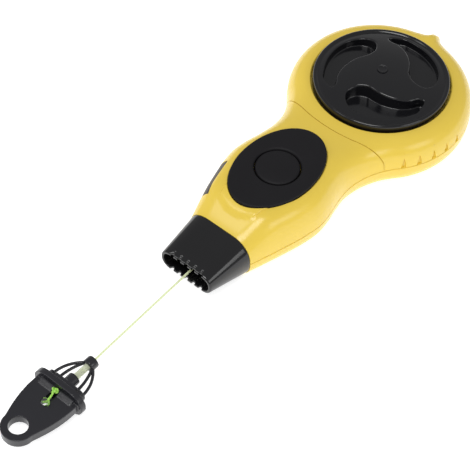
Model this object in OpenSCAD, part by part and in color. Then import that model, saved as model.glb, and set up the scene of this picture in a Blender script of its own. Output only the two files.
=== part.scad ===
// Chalk line reel, all sizes in millimetres.
// Origin: on the reel axis at the flat underside. +Y points to the back tip,
// -Y along the handle to the nozzle and the hook, +Z up through the winding wheel.

/* [Head] */
// Radius of the round head at its widest line
head_r = 38; // [34:0.5:46]
// How far the small back point stands beyond the head circle
tip_out = 3.3; // [1:0.1:6]
// Height of the head cover's top face
cover_top = 21.5; // [20:0.5:26]
// Height of the parting line under the reel axis
part_z = 10.2; // [9:0.1:12]
// Wall thickness of the three shells
wall = 2; // [1.6:0.1:2.4]

/* [Handle] */
// Distance from the reel axis to the nozzle seam
body_len = 100; // [84:1:120]
// Half width of the neck
neck_w = 20.4; // [17:0.1:24]
// Half width of the grip at its widest
grip_w = 23.5; // [20:0.1:27]
// Half width at the nozzle seam
nose_w = 15.3; // [13:0.1:18]
// Height of the grip's top face
grip_top = 24; // [22:0.5:29]
// Height of the body at the nozzle seam
nose_top = 18.5; // [16:0.5:21]
// Width of the rounded upper edge
edge_w = 9.5; // [7:0.1:11]
// Width of the rounded lower edge
foot_w = 6; // [4:0.1:8]

/* [Nozzle] */
// Length of the nozzle beyond the seam
nozzle_len = 20; // [16:0.5:26]
// Half width of the mouth
mouth_w = 12.4; // [11:0.1:15]
// Half height of the mouth
mouth_h = 4.7; // [4.4:0.1:6.5]
// Number of notches in each lip
lip_notches = 5; // [3:1:7]
// Radius of one lip notch
notch_r = 0.9; // [0.5:0.1:1.2]

/* [Winding wheel and reel] */
// Radius of the winding wheel
wheel_r = 28; // [23:0.5:34]
// Height of the wheel's rim
rim_top = 24; // [23:0.1:27]
// Rise of the wheel's dome above its rim
dome_rise = 4.4; // [2:0.1:6]
// Radius of the reel's barrel
barrel_r = 9; // [8:0.5:12]
// Radius of the wound line
wound_r = 21; // [14:0.5:24]
// Radius of the steel spindle
spindle_r = 2.45; // [1.8:0.05:3]

/* [Button and brake] */
// Radius of the thumb button
button_r = 8.8; // [7:0.1:10]
// Distance from the reel axis to the button
button_y = 66.4; // [60:0.1:72]
// Travel of the button
button_travel = 2.2; // [1.5:0.1:2.5]
// Half width of the grip pad
pad_w = 15.8; // [13:0.1:17]
// Half length of the grip pad
pad_l = 23.4; // [19:0.1:26]

/* [Hook and line] */
// Thickness of the line
line_d = 0.9; // [0.6:0.1:1.2]
// Distance from the nozzle seam to the hook's flange
hook_out = 88; // [60:1:140]
// Length of the hook's plate from the flange to the nail hole
plate_len = 21; // [16:0.5:26]
// Radius of the nail hole
nail_r = 3.7; // [2.5:0.1:4.2]

/* [Hidden] */
$fn = 64;
gap = 0.3;
part_slope = 0.018;
fullness = 2.3;
steps = 6;
line_z = 9.2;
mouth_z = 9.9;
hook_z = 6;
neck_y = 1.24 * head_r;
grip_y = neck_y + 0.396 * (body_len - neck_y);
seam_r = 60;
seam_c = seam_r - 0.92 * head_r;
reel_r = head_r - 9;
low_flange_z = 4.2;
flange_t = 1.2;
top_flange_z = 13.8;
deck_z = 16;
deck_t = 1.8;
hub_r = 7.5;
well_z = 19;
pad_seat = grip_top - 0.8;
lever_y = 46 - 47.12 + neck_y;
lever_z = 13.2;
pin_r = 1.25;
guide_y = neck_y - 8;
mouth_y = body_len + nozzle_len;
flange_y = body_len + hook_out;
boss_r = 2.8;
head_boss = head_r - 5.4;
screw_spots = [
    [head_boss * sin(40), head_boss * cos(40)],
    [-head_boss * sin(40), head_boss * cos(40)],
    [nose_w - 4.8, 8 - body_len],
    [4.8 - nose_w, 8 - body_len]
];
// Filler door: a plate on a cylinder along the left flank, hinged at its lower edge
door_y = body_len - 19.2;
door_x = grip_w - 16.74;
door_z = 12.05;
door_r = 13.8;
door_turn = 13.5;
door_tilt = 4;
door_rise = 43;
door_len = 16.8;
door_thick = 1.15;
hinge_r = 0.8;
yellow = [0.93, 0.76, 0.2];
black = [0.13, 0.13, 0.14];
rubber = [0.2, 0.2, 0.21];
steel = [0.72, 0.73, 0.75];
felt = [0.62, 0.6, 0.56];
green = [0.8, 0.93, 0.5];

// Smooth step from 0 to 1
function ease(t) = let (c = min(max(t, 0), 1)) c * c * (3 - 2 * c);
// Height of the parting line and of the top face along the body
function part_at(y) = part_z + part_slope * y;
nose_drop = (grip_top - nose_top) / ease(14 / 18);
function top_at(y) = cover_top
    + (grip_top - cover_top) * ease((-y - 0.8 * head_r) / 22)
    - nose_drop * ease((-y - body_len + 14) / 18);

// Catmull-Rom curve through the handle's half widths
function curve(p, i, t) = 0.5 * (2 * p[i] + (p[i + 1] - p[i - 1]) * t
    + (2 * p[i - 1] - 5 * p[i] + 4 * p[i + 1] - p[i + 2]) * t * t
    + (3 * p[i] - p[i - 1] - 3 * p[i + 1] + p[i + 2]) * t * t * t);
function slope(p, i, t) = 0.5 * ((p[i + 1] - p[i - 1])
    + 2 * (2 * p[i - 1] - 5 * p[i] + 4 * p[i + 1] - p[i + 2]) * t
    + 3 * (3 * p[i] - p[i - 1] - 3 * p[i + 1] + p[i + 2]) * t * t);
function mix_w(a, b, t) = a + (b - a) * t;
span = body_len - neck_y;
handle = [
    [mix_w(neck_w, grip_w, 0.3), -neck_y + 0.132 * span],
    [neck_w, -neck_y],
    [mix_w(neck_w, grip_w, 0.3), -neck_y - 0.132 * span],
    [mix_w(neck_w, grip_w, 0.8), -neck_y - 0.264 * span],
    [grip_w, -grip_y],
    [mix_w(grip_w, nose_w, 0.15), -neck_y - 0.547 * span],
    [mix_w(grip_w, nose_w, 0.4), -neck_y - 0.698 * span],
    [mix_w(grip_w, nose_w, 0.69), -neck_y - 0.849 * span],
    [nose_w, -body_len],
    [mix_w(grip_w, nose_w, 1.33), -body_len - 0.151 * span]
];
// Concave arc that joins the head circle to the neck
fillet_r = (neck_w * neck_w + neck_y * neck_y - head_r * head_r) / (2 * (head_r - neck_w));
fillet_c = [neck_w + fillet_r, -neck_y];
join_a = atan2(neck_y, neck_w + fillet_r);
function unit(v) = v / norm(v);
// Stations round the right half of the plan: [point, inward direction]
head_top = asin(9.5 / head_r);
tip_pts = [
    [1, head_r + tip_out], [2.2, head_r + 0.58 * tip_out],
    [4, head_r + 0.21 * tip_out], [6.5, sqrt(head_r * head_r - 42.25) + 0.3]
];
stations = concat(
    [for (p = tip_pts) [p, -unit(p)]],
    [for (k = [0 : 17]) let (a = 90 - head_top - (90 - head_top + join_a) * k / 17)
        [[head_r * cos(a), head_r * sin(a)], [-cos(a), -sin(a)]]],
    [for (k = [1 : 5]) let (a = 180 - join_a * (1 - k / 5))
        [fillet_c + fillet_r * [cos(a), sin(a)], [cos(a), sin(a)]]],
    [for (i = [1 : 7]) for (t = (i < 7 ? [0.5, 1] : [0.5, 0.999]))
        let (d = slope(handle, i, t), f = ease((i + t - 6) / 1.9))
        [curve(handle, i, t), unit(unit([d[1], -d[0]]) * (1 - f) + [-1, 0] * f)]]
);
count = len(stations);

// One ring of points round the body at an inward distance and a share of the height
function ring_point(i, side, inset, share, goal) = let (
    s = stations[i],
    p = s[0] + s[1] * inset,
    z0 = part_at(p[1])
) [side * p[0], i == count - 1 ? -body_len : p[1], z0 + (goal - z0) * share];
function inset_at(k, start, width) = start
    + (width - start) * (1 - pow(cos(90 * k / steps), 2 / fullness));
function share_at(k) = pow(sin(90 * k / steps), 2 / fullness);
function ring(k, start, width, up, rise) = [
    for (j = [0 : 2 * count - 1])
        let (i = j < count ? count - 1 - j : j - count, side = j < count ? 1 : -1,
            inset = inset_at(k, start, width),
            y = (stations[i][0] + stations[i][1] * inset)[1])
        ring_point(i, side, inset, share_at(k), up ? top_at(y) - rise : rise)
];
function quad(a, b, c, d, turn) = turn ? [[c, b, a], [d, c, a]] : [[a, b, c], [a, c, d]];

// Closed bowl between the outside and an inner skin one wall further in
module bowl(up, width, thick, sink) {
    m = 2 * count;
    rows = steps + 1;
    outer = [for (k = [0 : steps]) each ring(k, sink, width, up, sink)];
    inner = [for (k = [0 : steps]) each ring(k, sink + thick, width, up, sink + thick)];
    base = rows * m;
    flip = up;
    sides = [for (k = [0 : steps - 1]) for (j = [0 : m - 2]) let (a = k * m + j)
        each concat(quad(a, a + 1, a + 1 + m, a + m, flip),
            quad(base + a, base + a + 1, base + a + 1 + m, base + a + m, !flip))];
    caps = [for (j = [0 : count - 2]) let (a = steps * m + j, b = steps * m + m - 1 - j)
        each concat(quad(a, a + 1, b - 1, b, flip),
            quad(base + a, base + a + 1, base + b - 1, base + b, !flip))];
    rim = [for (j = [0 : m - 2])
        each quad(base + j, base + j + 1, j + 1, j, flip)];
    ends = [for (k = [0 : steps - 1]) let (a = k * m, b = k * m + m - 1)
        each concat(quad(a, a + m, base + a + m, base + a, flip),
            quad(base + b, base + b + m, b + m, b, flip))];
    front = quad(steps * m, steps * m + m - 1, base + steps * m + m - 1, base + steps * m, flip);
    polyhedron(concat(outer, inner), concat(sides, caps, rim, ends, front));
}

// Closed section loop of the nozzle: half width, heights, edge widths, inset
function half_loop(w, z0, z1, width, inset) = [
    for (k = [0 : steps]) let (d = inset_at(k, inset, width))
        [w - d, z0 + (z1 - z0) * share_at(k)]
];
function section(w, z0, top, bottom, up_w, low_w, inset) = let (
    hi = half_loop(w, z0, top - inset, up_w, inset),
    lo = half_loop(w, z0, bottom + inset, low_w, inset)
) concat(
    hi,
    [for (k = [steps : -1 : 0]) [-hi[k][0], hi[k][1]]],
    [for (k = [1 : steps]) [-lo[k][0], lo[k][1]]],
    [for (k = [steps : -1 : 1]) lo[k]]
);
function nose_loop(t, inset) = section(
    mix_w(nose_w - 0.15, mouth_w, t),
    mix_w(part_at(-body_len), mouth_z, t),
    mix_w(nose_top - 0.15, mouth_z + mouth_h, t),
    mix_w(0.15, mouth_z - mouth_h, t),
    mix_w(edge_w, mouth_h + 0.6, t), mix_w(foot_w, mouth_h + 0.2, t), inset);
module tube_loft(loops, ys) {
    n = len(loops[0]);
    rows = len(ys);
    pts = [for (r = [0 : rows - 1]) for (p = loops[r]) [p[0], ys[r], p[1]]];
    walls = [for (r = [0 : rows - 2]) for (i = [0 : n - 1])
        let (a = r * n + i, b = r * n + (i + 1) % n)
        each quad(a, b, b + n, a + n, true)];
    e = (rows - 1) * n;
    polyhedron(pts, concat(walls, [for (i = [1 : n - 2]) [0, i, i + 1]],
        [for (i = [1 : n - 2]) [e, e + i + 1, e + i]]));
}

// Straight-sided post standing on the lower floor or hanging from a top
module post(p, r, z0, z1) {
    translate([p[0], p[1], z0]) cylinder(r = r, h = z1 - z0, $fn = 32);
}
module along_y(x, y, z, r, h) {
    translate([x, y, z]) rotate([90, 0, 0]) cylinder(r = r, h = h);
}
module along_x(x, y, z, r, h) {
    translate([x, y, z]) rotate([0, 90, 0]) cylinder(r = r, h = h);
}
module seam_drum() {
    translate([0, seam_c, 0]) cylinder(r = seam_r, h = 40, $fn = 128);
}
function oval(w, l) = [for (k = [0 : 63]) [w * cos(5.625 * k), l * sin(5.625 * k)]];

module lower_shell() color(yellow) {
    difference() {
        union() {
            bowl(false, foot_w, wall, 0);
            cylinder(r = 5.5, h = low_flange_z - 0.8);
            for (p = screw_spots) post(p, boss_r, 0.01, part_at(p[1]) - 0.1);
            translate([-3.2, -guide_y - 1.2, wall / 2]) cube([6.4, 2.4, line_z + 2.2]);
        }
        translate([0, 0, 1]) cylinder(r = spindle_r, h = 10);
        for (p = screw_spots) {
            post(p, 1.4, -1, part_z + 5);
            post(p, 2.45, -1, 2.2);
        }
        along_y(0, -guide_y + 3, line_z, 2, 6);
    }
}

module top_posts(front) {
    for (p = screw_spots)
        if ((p[1] < 0) == front) difference() {
            post(p, boss_r, part_at(p[1]) + 0.1, front ? nose_top - 0.2 : part_z + 5.2);
            post(p, 1.1, part_at(p[1]) - 1, part_z + 4.5);
        }
}

module handle_shell() color(yellow) {
    difference() {
        union() {
            difference() {
                bowl(true, edge_w, wall, 0);
                seam_drum();
            }
            translate([0, -button_y, well_z - 1.8]) cylinder(r = button_r + 2.2, h = grip_top - well_z + 0.3);
            top_posts(true);
            for (x = [-12, -3]) translate([x, -lever_y - 2.5, lever_z - 2.7])
                cube([2, 5, grip_top - lever_z + 0.8]);
        }
        translate([0, -button_y, pad_seat]) linear_extrude(5) polygon(oval(pad_w + 0.15, pad_l + 0.15));
        translate([0, -button_y, well_z]) cylinder(r = button_r + 0.35, h = 9);
        translate([0, -button_y, well_z - 5]) cylinder(r = 3.55, h = 9);
        along_x(-13, -lever_y, lever_z, pin_r, 14);
        door_opening();
        door_axle(0.45, door_len + 2.6);
    }
}

module head_cover() color(yellow) {
    difference() {
        union() {
            intersection() {
                bowl(true, edge_w, wall, 0);
                seam_drum();
            }
            translate([0, 0, deck_z]) cylinder(r = wheel_r + 2, h = cover_top - deck_z - 1, $fn = 96);
            top_posts(false);
        }
        translate([0, 0, deck_z + deck_t]) cylinder(r = wheel_r + 0.7, h = 12, $fn = 96);
        translate([0, 0, deck_z - 1]) cylinder(r = hub_r + 0.4, h = 6);
        for (k = [0 : 4]) rotate(3.5 - 10.2 * k)
            translate([head_r + 0.3, 0, part_z - 1]) rotate([0, -13, 0])
                cylinder(r1 = 1.2, r2 = 0.1, h = 8, $fn = 24);
    }
}

module nozzle() color(black) {
    marks = [0, 0.25, 0.5, 0.75, 1];
    inner = [0.08, 0.3, 0.55, 0.8, 1.1];
    difference() {
        union() {
            tube_loft([for (t = marks) nose_loop(t, 0)], [for (t = marks) -body_len - nozzle_len * t]);
            tube_loft([nose_loop(0, wall + 0.1), nose_loop(0, wall + 0.1)],
                [5.5 - body_len, -body_len - 0.6]);
        }
        tube_loft([nose_loop(0, wall + 1.4), nose_loop(0, wall + 1.4)], [6.5 - body_len, -body_len - 2.6]);
        tube_loft([for (t = inner) nose_loop(t, 1.3)], [for (t = inner) -body_len - nozzle_len * t]);
        for (k = [0 : lip_notches - 1])
            translate([(k - (lip_notches - 1) / 2) * 3.5, -mouth_y, -1])
                cylinder(r = notch_r, h = 30, $fn = 24);
    }
}

module grip_pad() color(rubber) {
    difference() {
        union() {
            translate([0, -button_y, pad_seat]) linear_extrude(1.2) polygon(oval(pad_w, pad_l));
            translate([0, -button_y, pad_seat + 1]) linear_extrude(0.7)
                polygon(oval(pad_w - 0.5, pad_l - 0.5));
        }
        translate([0, -button_y, pad_seat - 1]) cylinder(r = button_r + 0.35, h = 5);
    }
}

module reel_spindle() color(steel) {
    translate([0, 0, 1]) cylinder(r = spindle_r, h = deck_z - 1);
}

module thrust_washer() color(steel) {
    translate([0, 0, low_flange_z - 0.8]) difference() {
        cylinder(r = 5.4, h = 0.5);
        translate([0, 0, -1]) cylinder(r = spindle_r + 0.02, h = 3);
    }
}

module case_screws() color(steel) {
    for (p = screw_spots) difference() {
        union() {
            post(p, 1.1, 0.6, part_z + 4);
            post(p, 2.3, 0.5, 2.2);
        }
        translate([p[0] - 2, p[1] - 0.35, -1]) cube([4, 0.7, 2.1]);
        translate([p[0] - 0.35, p[1] - 2, -1]) cube([0.7, 4, 2.1]);
    }
}

module line_guide() color(steel) {
    difference() {
        union() {
            along_y(0, -guide_y + 1.2, line_z, 2, 2.4);
            along_y(0, -guide_y + 1.9, line_z, 2.7, 0.7);
        }
        along_y(0, -guide_y + 4, line_z, line_d / 2 + 0.35, 8);
    }
}

module wiper_felts() color(felt) {
    low = line_z - line_d / 2 - 0.02;
    high = line_z + line_d / 2 + 0.02;
    edge = wall + 1.55;
    translate([-5.5, -body_len, edge]) cube([11, 5, low - edge]);
    translate([-5.5, -body_len, high]) cube([11, 5, nose_top - edge - high]);
}

module lever_pin() color(steel) {
    along_x(-12, -lever_y, lever_z, pin_r, 11);
}

module dust_seal() color(felt) {
    translate([0, 0, deck_z - 0.65]) difference() {
        cylinder(r = 11, h = 0.65);
        translate([0, 0, -1]) cylinder(r = hub_r + 0.35, h = 3);
    }
}

// Coil spring under the button, drawn as one swept wire
function coil_at(a, r) = [r * cos(a), r * sin(a), 3.3 * a / 1080];
module button_spring() color(steel) {
    turns = 36;
    sides = 6;
    pts = [for (k = [0 : turns]) let (a = 1080 * k / turns) for (s = [0 : sides - 1])
        let (q = 360 * s / sides) coil_at(a, 5.6 + 0.3 * cos(q)) + [0, 0, 0.3 * sin(q)]];
    skin = [for (k = [0 : turns - 1]) for (s = [0 : sides - 1])
        let (a = k * sides + s, b = k * sides + (s + 1) % sides)
        each quad(a, b, b + sides, a + sides, false)];
    cap_a = [for (s = [1 : sides - 2]) [0, s + 1, s]];
    e = turns * sides;
    cap_b = [for (s = [1 : sides - 2]) [e, e + s, e + s + 1]];
    translate([0, -button_y, well_z + 0.35]) polyhedron(pts, concat(skin, cap_a, cap_b));
}

module reel_core() color(black) {
    difference() {
        union() {
            translate([0, 0, low_flange_z]) cylinder(r = reel_r, h = flange_t, $fn = 96);
            translate([0, 0, low_flange_z]) cylinder(r = barrel_r, h = top_flange_z - low_flange_z);
            translate([0, 0, low_flange_z]) cylinder(r = hub_r, h = 14);
            translate([-4, -4, 18]) cube([8, 8, 3]);
        }
        translate([0, 0, low_flange_z - 1]) cylinder(r = spindle_r + 0.05, h = deck_z - low_flange_z + 1.5);
    }
}

module reel_flange() color(black) {
    translate([0, 0, top_flange_z]) difference() {
        cylinder(r = reel_r, h = flange_t, $fn = 96);
        translate([0, 0, -1]) cylinder(r = hub_r, h = 4);
        for (k = [0 : 5]) rotate(60 * k) translate([0.83 * reel_r, 0, -1]) cylinder(r = 2.2, h = 4);
    }
}

module line_winding() color(green) {
    h = top_flange_z - low_flange_z - flange_t;
    translate([0, 0, low_flange_z + flange_t]) rotate_extrude($fn = 96)
        polygon(concat([[barrel_r, 0], [wound_r - 0.6, 0]],
            [for (k = [0 : 6]) [wound_r - (k % 2) * 0.5, 0.6 + (h - 1.2) * k / 6]],
            [[wound_r - 0.6, h], [barrel_r, h]]));
}

// One comma-shaped finger pocket, as shares of the wheel's radius
comma = [
    [0.78, -4], [0.845, 10], [0.84, 22], [0.84, 34], [0.84, 46], [0.84, 58], [0.83, 70],
    [0.80, 80], [0.76, 88], [0.69, 95], [0.62, 98], [0.52, 97], [0.45, 93], [0.40, 84],
    [0.385, 74], [0.41, 62], [0.46, 48], [0.52, 34], [0.59, 21], [0.66, 8], [0.70, -2]
];
module winding_wheel() color(black) {
    foot = deck_z + deck_t + 0.4;
    difference() {
        rotate_extrude($fn = 128) polygon(concat(
            [[0, foot], [wheel_r - 1.2, foot], [wheel_r, foot + 1.2], [wheel_r, rim_top - 1.3],
                [wheel_r - 0.3, rim_top - 0.5], [wheel_r - 1, rim_top], [wheel_r - 1.8, rim_top - 0.4]],
            [for (k = [10 : -1 : 0]) [(wheel_r - 2.4) * k / 10,
                rim_top - 0.5 + dome_rise * (1 - pow(k / 10, 2.2))]]));
        for (k = [0 : 2]) rotate(120 * k - 6) translate([0, 0, rim_top - 3])
            linear_extrude(9) polygon([for (c = comma) wheel_r * c[0] * [cos(-c[1]), sin(-c[1])]]);
        translate([0, 0, foot - 1]) rotate_extrude($fn = 96)
            polygon([[9.5, 0], [wheel_r - 3, 0], [wheel_r - 3, 2.2], [9.5, 2.2]]);
        translate([-4, -4, foot - 1]) cube([8, 8, 3.8]);
        translate([0, 0, foot - 1]) cylinder(r = hub_r, h = 1);
    }
}

module wheel_cap() color(black) {
    translate([0, 0, rim_top - 0.5 + dome_rise]) difference() {
        cylinder(r = 2.2, h = 0.5);
        translate([0, 0, 0.2]) cylinder(r = 1.5, h = 1);
    }
}

module button() color(rubber) {
    top = grip_top + 0.8;
    translate([0, -button_y, 0]) rotate_extrude($fn = 96) polygon([
        [0, lever_z + 2.2], [3.2, lever_z + 2.2], [3.2, top - 1.2], [7.2, top - 1.2], [7.2, well_z + 2.6],
        [button_r, well_z + 2.6], [button_r, top - 0.5], [button_r - 0.5, top],
        [button_r * 0.6, top + 0.45], [button_r * 0.3, top + 0.6], [0, top + 0.65]]);
}

module brake_lever() color([0.85, 0.85, 0.82]) {
    difference() {
        union() {
            along_x(-9.6, -lever_y, lever_z, 2.6, 6.2);
            translate([-9, -button_y - 3.6, lever_z - 1]) cube([5, button_y + 3.6 - lever_y, 2]);
            translate([-9, -button_y - 4.5, lever_z - 0.4]) cube([13, 9, 2.1]);
            translate([-9, -lever_y, lever_z - 2.6]) cube([5, 14, 2.2]);
            translate([-9, -lever_y + 11.5, lever_z - 5.7]) cube([5, 2.5, 5]);
            translate([-9, -lever_y + 11.5, lever_z - 5.7]) cube([5, 9, 2]);
        }
        along_x(-13, -lever_y, lever_z, pin_r + 0.08, 14);
    }
}

module brake_shoe() color(rubber) {
    translate([-9, -lever_y + 17, lever_z - 3.7]) cube([5, 3.5, 1.6]);
}

// The filler door's own place: its cylinder runs along the flank and dips to the nozzle
module door_place() {
    translate([-door_x, -door_y, door_z]) rotate(door_turn) rotate([door_tilt, 0, 0]) children();
}
// Part of a tube round the door's cylinder, from one angle above the hinge to another
module door_arc(inner, outer, low, high, long) {
    door_place() translate([0, long / 2, 0]) rotate([90, 0, 0]) rotate(180 - high)
        rotate_extrude(angle = high - low, $fn = 128) translate([inner, 0]) square([outer - inner, long]);
}
module door_opening() {
    door_arc(door_r - 3.2, door_r + 3, -5, door_rise + 1.3, door_len + 2 * gap);
}
module door_axle(r, long) {
    door_place() translate([-door_r + 0.95, long / 2, 0]) rotate([90, 0, 0])
        cylinder(r = r, h = long, $fn = 32);
}
module filler_door() color([0.23, 0.16, 0.12]) {
    difference() {
        union() {
            door_arc(door_r - 0.2 - door_thick, door_r - 0.2, 0, door_rise, door_len);
            door_axle(hinge_r, door_len);
        }
        door_axle(0.5, door_len + 2);
    }
}
module door_pin() color(steel) {
    door_axle(0.45, door_len + 2.6);
}

// Round wire or line swept along hand-chosen points
function frame_of(p, i) = let (d = unit(p[min(i + 1, len(p) - 1)] - p[max(i - 1, 0)]),
    s = unit(cross(d, [0, 0, 1]))) [s, cross(s, d)];
module swept(p, r, sides) {
    n = len(p);
    pts = [for (i = [0 : n - 1]) let (f = frame_of(p, i)) for (k = [0 : sides - 1])
        p[i] + r * (cos(360 * k / sides) * f[0] + sin(360 * k / sides) * f[1])];
    skin = [for (i = [0 : n - 2]) for (k = [0 : sides - 1])
        let (a = i * sides + k, b = i * sides + (k + 1) % sides)
        each quad(a, b, b + sides, a + sides, false)];
    e = (n - 1) * sides;
    polyhedron(pts, concat(skin, [for (k = [1 : sides - 2]) [0, k + 1, k]],
        [for (k = [1 : sides - 2]) [e, e + k, e + k + 1]]));
}

module line_inside() color(green) {
    a = acos((wound_r + 0.6) / guide_y);
    start = (wound_r + 0.6) * [sin(a), -cos(a)];
    swept([[start[0], start[1], line_z + 2], [0.4 * start[0], mix_w(2.6 - guide_y, start[1], 0.4), line_z + 0.8],
        [0, 2.6 - guide_y, line_z], [0, -guide_y - 20, line_z], [0, -body_len, line_z]], line_d / 2, 8);
}

module line_outside() color(green) {
    swept([for (k = [0 : 8]) [0, mix_w(-body_len, 14.7 - flange_y, k / 8), mix_w(line_z, hook_z, k / 8)]],
        line_d / 2, 8);
}

module slab(w, h, y, t) {
    translate([0, y, hook_z]) rotate([90, 0, 0]) linear_extrude(t) union() {
        translate([-(w - h), -h]) square([2 * (w - h), 2 * h]);
        for (s = [-1, 1]) translate([s * (w - h), 0]) circle(r = h);
    }
}

module hook_plate() color(black) {
    end_r = nail_r + 2.9;
    nail_y = -flange_y - plate_len;
    half = [for (t = [0 : 0.125 : 1]) [mix_w(10, end_r, t) + 1.1 * sin(180 * t), mix_w(-flange_y, nail_y, t)]];
    difference() {
        union() {
            slab(11.8, hook_z - 0.1, 1.2 - flange_y, 2.4);
            slab(8.8, mouth_h - 1.75, 3.9 - flange_y, 2.8);
            along_y(0, 7.6 - flange_y, hook_z, 2.5, 4.2);
            translate([0, 0, hook_z - 2]) linear_extrude(4) union() {
                polygon(concat(half, [for (k = [8 : -1 : 0]) [-half[k][0], half[k][1]]]));
                translate([0, nail_y]) circle(r = end_r);
            }
            translate([-8, -flange_y - 1, hook_z - 3.2]) rotate([0, 90, 0])
                linear_extrude(16) polygon([[0, 0], [-6.4, 0], [-5.2, -2.6], [-1.2, -2.6]]);
        }
        translate([0, nail_y, -5]) cylinder(r = nail_r, h = 30);
        along_y(0, 8 - flange_y, hook_z, 1.5, 12);
        translate([0, -flange_y - 7.6, -5]) cylinder(r = 1.6, h = 30);
        translate([-1.3, -flange_y - 6, hook_z]) cube([2.6, 4, 6]);
        for (s = [-1, 1]) translate([s * 5.8 - 0.6, 2 - flange_y, hook_z + mouth_h - 2.6]) cube([1.2, 3, 2]);
    }
}

module hook_cage() color(black) {
    rib_r = 0.6;
    for (side = [0, 1], rib = [[7.4, 14.6, 50], [4.5, 25.4, 26.1]])
        mirror([side, 0, 0]) translate([rib[0] - rib[1], 3.9 - flange_y, hook_z])
            rotate_extrude(angle = rib[2], $fn = 96) translate([rib[1], 0]) circle(r = rib_r, $fn = 16);
    difference() {
        along_y(0, 17.6 - flange_y, hook_z, 2.6, 3.4);
        along_y(0, 19 - flange_y, hook_z, 1.35, 6);
    }
}

module line_sleeve() color([0.88, 0.93, 0.74, 0.8]) {
    difference() {
        along_y(0, 14.7 - flange_y, hook_z, 1.3, 10);
        along_y(0, 12 - flange_y, hook_z, line_d / 2, 9);
    }
}

module line_knot() color([0.65, 0.88, 0.35]) {
    y0 = -flange_y - 3.2;
    z0 = hook_z + 3.4;
    translate([0, y0, z0]) sphere(r = 1.3, $fn = 32);
    translate([0.5, y0, z0]) rotate([90, 0, -8]) cylinder(r = 0.5, h = 4.4, $fn = 16);
}

lower_shell();
handle_shell();
head_cover();
nozzle();
grip_pad();
reel_spindle();
thrust_washer();
case_screws();
line_guide();
wiper_felts();
lever_pin();
dust_seal();
button_spring();
door_pin();
reel_core();
reel_flange();
line_winding();
winding_wheel();
wheel_cap();
button();
brake_lever();
brake_shoe();
filler_door();
line_inside();
line_outside();
hook_plate();
hook_cage();
line_sleeve();
line_knot();
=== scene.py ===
import math

import bpy
import bmesh
import numpy as np
from mathutils import Matrix, Vector
from mathutils.geometry import delaunay_2d_cdt


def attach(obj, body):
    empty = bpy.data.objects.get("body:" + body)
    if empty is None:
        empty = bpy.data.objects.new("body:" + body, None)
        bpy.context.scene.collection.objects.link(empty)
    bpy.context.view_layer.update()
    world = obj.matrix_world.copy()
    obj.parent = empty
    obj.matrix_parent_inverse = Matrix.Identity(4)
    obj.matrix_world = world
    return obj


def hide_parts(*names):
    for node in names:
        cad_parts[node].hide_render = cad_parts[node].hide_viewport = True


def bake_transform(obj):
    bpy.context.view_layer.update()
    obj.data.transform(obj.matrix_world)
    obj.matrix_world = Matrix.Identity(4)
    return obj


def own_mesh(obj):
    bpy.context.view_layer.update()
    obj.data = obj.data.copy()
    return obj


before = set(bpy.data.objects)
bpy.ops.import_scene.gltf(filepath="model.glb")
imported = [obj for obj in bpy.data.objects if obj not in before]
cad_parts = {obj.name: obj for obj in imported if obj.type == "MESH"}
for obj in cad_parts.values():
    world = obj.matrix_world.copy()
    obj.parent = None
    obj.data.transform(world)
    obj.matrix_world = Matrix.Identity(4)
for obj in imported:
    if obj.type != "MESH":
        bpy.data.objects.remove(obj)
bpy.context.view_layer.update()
mm = 0.001
print("frame loaded:", len(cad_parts), "nodes")

cameraPlace = {"aim": (2.21, -93.83, 10), "turn": 38.74, "lift": 50.92, "roll": 2.21,
               "away": 650, "lens": 129.45}


def makeCamera(s):
    a, e, r = (math.radians(s[k]) for k in ("turn", "lift", "roll"))
    side = Vector((math.cos(a), math.sin(a), 0))
    back = Vector((math.sin(a) * math.cos(e), -math.cos(a) * math.cos(e), math.sin(e)))
    up = back.cross(side)
    sideR = side * math.cos(r) + up * math.sin(r)
    upR = up * math.cos(r) - side * math.sin(r)
    data = bpy.data.cameras.new("viewCamera")
    data.lens, data.sensor_width = s["lens"], 36
    data.clip_start, data.clip_end = 0.05, 10
    cam = bpy.data.objects.new("viewCamera", data)
    place = Matrix((sideR, upR, back)).transposed().to_4x4()
    place.translation = (Vector(s["aim"]) + back * s["away"]) * mm
    cam.matrix_world = place
    bpy.context.scene.collection.objects.link(cam)
    bpy.context.scene.camera = cam


makeCamera(cameraPlace)


class Wire:                                    # one socket that can stand in a sum
    def __init__(self, tree, socket):
        self.tree, self.socket = tree, socket

    def maths(self, operation, *others):
        return self.tree.node("ShaderNodeMath", {"operation": operation}, [self, *others])

    def __add__(self, o): return self.maths("ADD", o)
    def __sub__(self, o): return self.maths("SUBTRACT", o)
    def __mul__(self, o): return self.maths("MULTIPLY", o)
    def __rsub__(self, o): return self.tree.node("ShaderNodeMath", {"operation": "SUBTRACT"}, [o, self])
    def clip(self): return self.tree.node("ShaderNodeClamp", {}, [self, 0.0, 1.0])
    __radd__, __rmul__ = __add__, __mul__


class Tree:                                    # makes every node of a shader or geometry tree
    def __init__(self, tree):
        self.tree = tree

    def node(self, kind, settings=None, inputs=None, out=0):
        n = self.tree.nodes.new(kind)
        for key, value in (settings or {}).items():
            if key == "stops":
                ramp = n.color_ramp.elements
                while len(ramp) < len(value):
                    ramp.new(0.5)
                for element, (place, colour) in zip(ramp, value):
                    element.position, element.color = place, colour
            else:
                setattr(n, key, value)
        pairs = inputs.items() if isinstance(inputs, dict) else enumerate(inputs or [])
        for key, value in pairs:
            if value is None:
                continue
            socket = n.inputs[key]
            if isinstance(value, Wire):
                self.tree.links.new(value.socket, socket)
            else:
                socket.default_value = value
        return Wire(self, n.outputs[out])


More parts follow.
